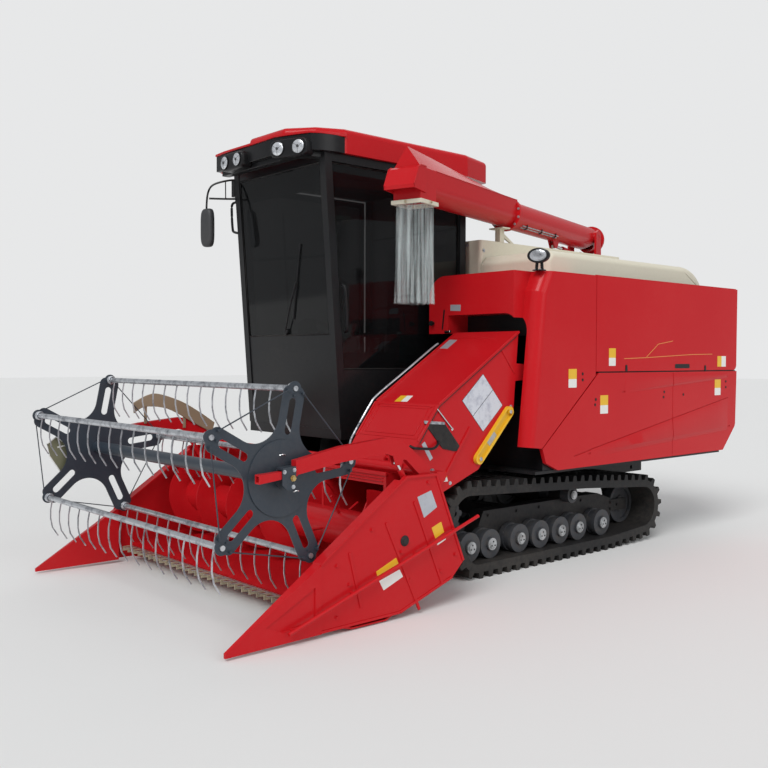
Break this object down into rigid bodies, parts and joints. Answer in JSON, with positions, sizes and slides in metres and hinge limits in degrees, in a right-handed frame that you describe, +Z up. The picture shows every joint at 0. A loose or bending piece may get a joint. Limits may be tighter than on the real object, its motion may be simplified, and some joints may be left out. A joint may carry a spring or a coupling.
{
  "type": "tracked combine harvester",
  "caption": "Tracked combine harvester with a tined reel header, enclosed cab, grain tank and swinging unloading boom.",
  "frame": {"origin": "on the ground below the middle of the whole machine", "axes": "+X is the machine's left, -Y is straight ahead, +Z is up"},
  "size_m": [2.494, 5.3293, 3.0003],
  "materials": {
    "red_paint": "gloss enamel",
    "cream_paint": "satin enamel",
    "black_paint": "satin black enamel",
    "slate_paint": "semi-gloss slate enamel",
    "frame_paint": "dull black",
    "yellow_paint": "gloss yellow",
    "galvanized": "galvanized",
    "worn_steel": "bright worn steel",
    "guard_gold": "zinc-yellow plated",
    "cylinder_chrome": "hard chrome",
    "engine_iron": "cast",
    "roller_iron": "cast, pale hub caps",
    "track_rubber": "moulded rubber",
    "tinted_glass": "tinted",
    "lamp_glass": "clear lens",
    "seat_vinyl": "black vinyl",
    "console_plastic": "textured",
    "clear_curtain": "clear vinyl"
  },
  "bodies": {
    "chassis": {"chassis_frame": "frame_paint", "track_left": "track_rubber", "track_right": "track_rubber", "track_frames": "frame_paint", "track_rollers": "roller_iron", "track_idlers": "roller_iron", "drive_sprockets": "roller_iron", "drive_gearbox": "frame_paint", "engine": "engine_iron", "engine_cowl": "black_paint", "threshing_housing": "black_paint", "front_cowl": "red_paint", "lower_side_panel": "red_paint", "drum_cover": "cream_paint", "rear_hood": "red_paint", "grain_tank": "cream_paint", "cab_frame": "black_paint", "cab_glass": "tinted_glass", "cab_roof": "red_paint", "roof_fascia": "black_paint", "roof_lamps": "lamp_glass", "operator_seat": "seat_vinyl", "control_console": "console_plastic", "cab_steps": "black_paint", "mirrors": "black_paint", "work_lamps": "black_paint", "unloading_riser": "red_paint", "boom_rest": "cream_paint"},
    "side_door": {"side_door": "red_paint"},
    "cab_door": {"cab_door": "black_paint", "cab_door_glass": "tinted_glass"},
    "engine_screen": {"engine_screen": "black_paint"},
    "header": {"feeder_house": "red_paint", "header_trough": "red_paint", "divider_left": "red_paint", "divider_right": "red_paint", "knife_guards": "guard_gold", "lock_bar": "yellow_paint"},
    "knife": {"knife": "worn_steel"},
    "platform_auger": {"platform_auger": "red_paint"},
    "reel_arms": {"reel_arms": "red_paint", "reel_bearings": "slate_paint"},
    "reel": {"reel": "slate_paint"},
    "reel_barrels": {"reel_cylinder_barrels": "red_paint"},
    "reel_rods": {"reel_cylinder_rods": "cylinder_chrome"},
    "lift_barrel": {"lift_barrel": "black_paint"},
    "lift_rod": {"lift_rod": "cylinder_chrome"},
    "boom_turret": {"boom_turret": "red_paint"},
    "boom": {"boom_tube": "red_paint", "curtain_frame": "cream_paint", "spout_curtain": "clear_curtain"},
    "boom_barrel": {"boom_barrel": "red_paint"},
    "boom_rod": {"boom_rod": "cylinder_chrome"},
    "tine_bar_1": {"tine_bar_1": "galvanized"},
    "tine_bar_2": {"tine_bar_2": "galvanized"},
    "tine_bar_3": {"tine_bar_3": "galvanized"},
    "tine_bar_4": {"tine_bar_4": "galvanized"},
    "tine_bar_5": {"tine_bar_5": "galvanized"}
  },
  "joints": [
    {"name": "header_lift", "type": "hinge", "parent": "chassis", "child": "header", "pos_m": [0.5675, -0.02, 1.35], "axis": [-1, 0, 0], "range_deg": [0, 22]},
    {"name": "knife_stroke", "type": "slide", "parent": "header", "child": "knife", "axis": [1, 0, 0], "range_m": [-0.038, 0.038]},
    {"name": "auger_spin", "type": "hinge", "parent": "header", "child": "platform_auger", "pos_m": [0, -1.48, 0.43], "axis": [1, 0, 0], "continuous": true},
    {"name": "reel_lift", "type": "hinge", "parent": "header", "child": "reel_arms", "pos_m": [0, -1.29, 0.8], "axis": [-1, 0, 0], "range_deg": [0, 15]},
    {"name": "reel_spin", "type": "hinge", "parent": "reel_arms", "child": "reel", "pos_m": [0, -2.239, 0.831], "axis": [1, 0, 0], "continuous": true},
    {"name": "tine_level_1", "type": "hinge", "parent": "reel", "child": "tine_bar_1", "pos_m": [0, -2.1455, 1.28446], "axis": [1, 0, 0], "continuous": true},
    {"name": "tine_level_2", "type": "hinge", "parent": "reel", "child": "tine_bar_2", "pos_m": [0, -2.64138, 1.06005], "axis": [1, 0, 0], "continuous": true},
    {"name": "tine_level_3", "type": "hinge", "parent": "reel", "child": "tine_bar_3", "pos_m": [0, -2.58118, 0.5191], "axis": [1, 0, 0], "continuous": true},
    {"name": "tine_level_4", "type": "hinge", "parent": "reel", "child": "tine_bar_4", "pos_m": [0, -2.0481, 0.40919], "axis": [1, 0, 0], "continuous": true},
    {"name": "tine_level_5", "type": "hinge", "parent": "reel", "child": "tine_bar_5", "pos_m": [0, -1.77884, 0.88221], "axis": [1, 0, 0], "continuous": true},
    {"name": "lift_barrel_swing", "type": "hinge", "parent": "chassis", "child": "lift_barrel", "pos_m": [0.312, -0.06, 0.5], "axis": [-1, 0, 0], "range_deg": [-0.5, 18]},
    {"name": "lift_rod_slide", "type": "slide", "parent": "lift_barrel", "child": "lift_rod", "axis": [0, -0.988, 0.1544], "range_m": [-0.002, 0.325]},
    {"name": "reel_barrel_swing", "type": "hinge", "parent": "header", "child": "reel_barrels", "pos_m": [0, -1.4, 0.7], "axis": [-1, 0, 0], "range_deg": [-0.5, 13]},
    {"name": "reel_rod_slide", "type": "slide", "parent": "reel_barrels", "child": "reel_rods", "axis": [0, -0.5253, 0.8509], "range_m": [-0.002, 0.043]},
    {"name": "boom_slew", "type": "hinge", "parent": "chassis", "child": "boom_turret", "pos_m": [-0.428, 2.33, 2.585], "axis": [0, 0, 1], "range_deg": [0, 180]},
    {"name": "boom_lift", "type": "hinge", "parent": "boom_turret", "child": "boom", "pos_m": [-0.428, 2.33, 2.585], "axis": [-0.9617, -0.274, 0], "range_deg": [0, 30]},
    {"name": "boom_barrel_swing", "type": "hinge", "parent": "boom_turret", "child": "boom_barrel", "pos_m": [-0.38417, 2.17612, 2.405], "axis": [-0.9617, -0.274, 0], "range_deg": [-0.5, 35]},
    {"name": "boom_rod_slide", "type": "slide", "parent": "boom_barrel", "child": "boom_rod", "axis": [0.2735, -0.9601, 0.0582], "range_m": [-0.002, 0.122]},
    {"name": "cab_door_swing", "type": "hinge", "parent": "chassis", "child": "cab_door", "pos_m": [-1.138, 0.175, 1.86], "axis": [0, 0, -1], "range_deg": [0, 80]},
    {"name": "side_door_lift", "type": "hinge", "parent": "chassis", "child": "side_door", "pos_m": [0.966, 1.585, 2.025], "axis": [0, -1, 0], "range_deg": [0, 75]},
    {"name": "engine_screen_swing", "type": "hinge", "parent": "chassis", "child": "engine_screen", "pos_m": [-1.098, 0.22, 1.005], "axis": [0, 0, -1], "range_deg": [0, 95]}
  ],
  "couplings": [
    {"joint": "tine_level_1", "follows": "reel_spin", "ratio": -1},
    {"joint": "tine_level_2", "follows": "reel_spin", "ratio": -1},
    {"joint": "tine_level_3", "follows": "reel_spin", "ratio": -1},
    {"joint": "tine_level_4", "follows": "reel_spin", "ratio": -1},
    {"joint": "tine_level_5", "follows": "reel_spin", "ratio": -1},
    {"joint": "lift_barrel_swing", "follows": "header_lift", "ratio": 0.74002},
    {"joint": "lift_rod_slide", "follows": "header_lift", "m_per_rad": 0.82044},
    {"joint": "reel_barrel_swing", "follows": "reel_lift", "ratio": 0.79769},
    {"joint": "reel_rod_slide", "follows": "reel_lift", "m_per_rad": 0.14213},
    {"joint": "boom_barrel_swing", "follows": "boom_lift", "ratio": 1.1314},
    {"joint": "boom_rod_slide", "follows": "boom_lift", "m_per_rad": 0.22192}
  ]
}
